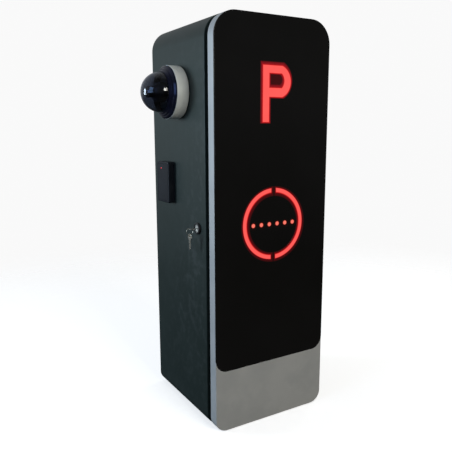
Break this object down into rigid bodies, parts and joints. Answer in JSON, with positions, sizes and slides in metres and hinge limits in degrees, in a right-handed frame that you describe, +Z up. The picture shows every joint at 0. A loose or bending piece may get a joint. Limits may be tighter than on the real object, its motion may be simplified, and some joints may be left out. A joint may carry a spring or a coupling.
{
  "type": "parking station cabinet",
  "caption": "Tall free-standing parking station with a lit sign door, a side card reader, a dome camera and a cam lock with keys.",
  "frame": {"origin": "centre of the floor anchor pattern, on the floor", "axes": "+Z up; the door faces -Y; the camera, reader and lock are on the -X side"},
  "size_m": [0.4457, 0.3544, 1.05],
  "materials": {
    "body_paint": "satin dark green-grey powder coat",
    "door_silver": "fine silver-grey metallic coat",
    "face_gloss": "polished black acrylic",
    "black_paint": "matt black",
    "black_steel": "black coated steel",
    "zinc_steel": "bright zinc plated",
    "black_rubber": "matt",
    "black_plastic": "fine grained",
    "reader_plastic": "satin dark blue-grey",
    "gloss_black": "polished",
    "camera_white": "light grey, semi-gloss",
    "smoked_dome": "clear smoked",
    "lens_glass": "coated lens",
    "red_light": "red diffuser, lit from behind",
    "led_board": "white solder mask",
    "circuit_board": "green solder mask",
    "module_aluminium": "satin anodised",
    "module_plastic": "light grey",
    "grey_plastic": "mid grey",
    "toggle_plastic": "blue",
    "brass": "satin",
    "lock_chrome": "polished nickel",
    "key_nickel": "nickel plated brass"
  },
  "bodies": {
    "cabinet": {"cabinet_shell": "body_paint", "rear_panel": "body_paint", "rear_screws": "zinc_steel", "base_plate": "zinc_steel", "cable_grommet": "black_rubber", "earth_stud": "brass", "front_collar": "black_paint", "door_seal": "black_rubber", "hinge_body_wings": "black_steel", "hinge_pins": "zinc_steel", "chassis_plate": "zinc_steel", "chassis_posts": "zinc_steel", "chassis_screws": "zinc_steel", "din_rail": "zinc_steel", "power_supply": "module_aluminium", "breaker_body": "module_plastic", "terminal_block": "grey_plastic", "controller_board": "circuit_board", "board_standoffs": "brass", "board_screws": "zinc_steel", "reader_back": "black_plastic", "reader_cover": "reader_plastic", "reader_led": "red_light", "reader_board": "circuit_board", "reader_screws": "zinc_steel", "camera_gasket": "black_rubber", "camera_base": "camera_white", "camera_screws": "zinc_steel", "camera_board": "circuit_board", "camera_collar": "gloss_black", "camera_dome": "smoked_dome", "lock_collar": "black_plastic", "lock_barrel": "lock_chrome", "lock_nut": "zinc_steel"},
    "door": {"door_frame": "door_silver", "face_panel": "face_gloss", "sign_lens": "red_light", "ring_lens": "red_light", "dot_lens": "red_light", "sign_light_box": "black_plastic", "ring_light_box": "black_plastic", "sign_led_board": "led_board", "ring_led_board": "led_board", "box_screws": "zinc_steel", "hinge_door_wings": "black_steel", "lock_keeper": "zinc_steel", "keeper_screws": "zinc_steel"},
    "breaker_lever": {"breaker_toggle": "toggle_plastic"},
    "camera_pan": {"camera_pan_fork": "black_plastic"},
    "camera_tilt": {"camera_ball": "gloss_black", "camera_lens": "lens_glass"},
    "lock_core": {"lock_plug": "lock_chrome", "lock_cam": "zinc_steel", "cam_screw": "zinc_steel"},
    "turned_key": {"key": "key_nickel"},
    "ring": {"split_ring": "key_nickel"},
    "hanging_key": {"spare_key": "key_nickel"}
  },
  "joints": [
    {"name": "door_swing", "type": "hinge", "parent": "cabinet", "child": "door", "pos_m": [0.1645, -0.142, 0.525], "axis": [0, 0, 1], "range_deg": [0, 100]},
    {"name": "breaker_flip", "type": "hinge", "parent": "cabinet", "child": "breaker_lever", "pos_m": [0.0985, 0.031, 0.33], "axis": [0, 1, 0], "range_deg": [-40, 0]},
    {"name": "camera_turn", "type": "hinge", "parent": "cabinet", "child": "camera_pan", "pos_m": [-0.1875, 0.014, 0.872], "axis": [-1, 0, 0], "range_deg": [-170, 170]},
    {"name": "camera_nod", "type": "hinge", "parent": "camera_pan", "child": "camera_tilt", "pos_m": [-0.2225, 0.014, 0.872], "axis": [0, 1, 0], "range_deg": [-80, 80]},
    {"name": "lock_turn", "type": "hinge", "parent": "cabinet", "child": "lock_core", "pos_m": [-0.1725, -0.088, 0.529], "axis": [-1, 0, 0], "range_deg": [0, 90]},
    {"name": "key_draw", "type": "slide", "parent": "lock_core", "child": "turned_key", "axis": [-1, 0, 0], "range_m": [0, 0.02]},
    {"name": "ring_swing", "type": "hinge", "parent": "turned_key", "child": "ring", "pos_m": [-0.1965, -0.088, 0.529], "axis": [0, 1, 0], "range_deg": [0, 30]},
    {"name": "spare_swing", "type": "hinge", "parent": "ring", "child": "hanging_key", "pos_m": [-0.1965, -0.088, 0.5137], "axis": [1, 0, 0], "range_deg": [-40, 40]}
  ]
}
